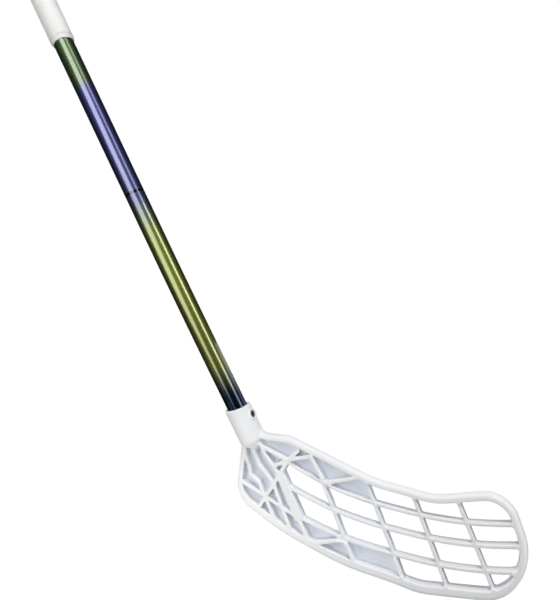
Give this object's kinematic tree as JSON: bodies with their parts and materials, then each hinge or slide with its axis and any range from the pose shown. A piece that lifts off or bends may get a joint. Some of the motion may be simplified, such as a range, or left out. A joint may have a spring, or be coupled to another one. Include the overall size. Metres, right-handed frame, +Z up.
{
  "type": "floorball stick",
  "caption": "Floorball stick with a round lacquered shaft, a wound grip, a butt plug and a hooked lattice blade whose hosel is screwed onto the shaft.",
  "frame": {"origin": "on the shaft axis at the middle of the grip", "axes": "+X up the shaft to the butt end, +Z up with the stick lying on its back, so that the hollow forehand face of the blade looks up, and the toe towards -Y"},
  "size_m": [1.0457, 0.2696, 0.0374],
  "materials": {
    "shaft_lacquer": "clear-lacquered composite, fading from black through olive and violet to green",
    "blade_plastic": "white satin moulding",
    "screw_steel": "black oxide",
    "grip_rubber": "matte off-white cushioned band",
    "collar_rubber": "matte off-white finishing ring",
    "cap_plastic": "off-white moulding"
  },
  "bodies": {
    "root": {"shaft_tube": "shaft_lacquer", "blade": "blade_plastic", "toe_side_screw": "screw_steel", "heel_side_screw": "screw_steel", "grip_band": "grip_rubber", "grip_collar": "collar_rubber", "end_cap": "cap_plastic"}
  },
  "joints": []
}
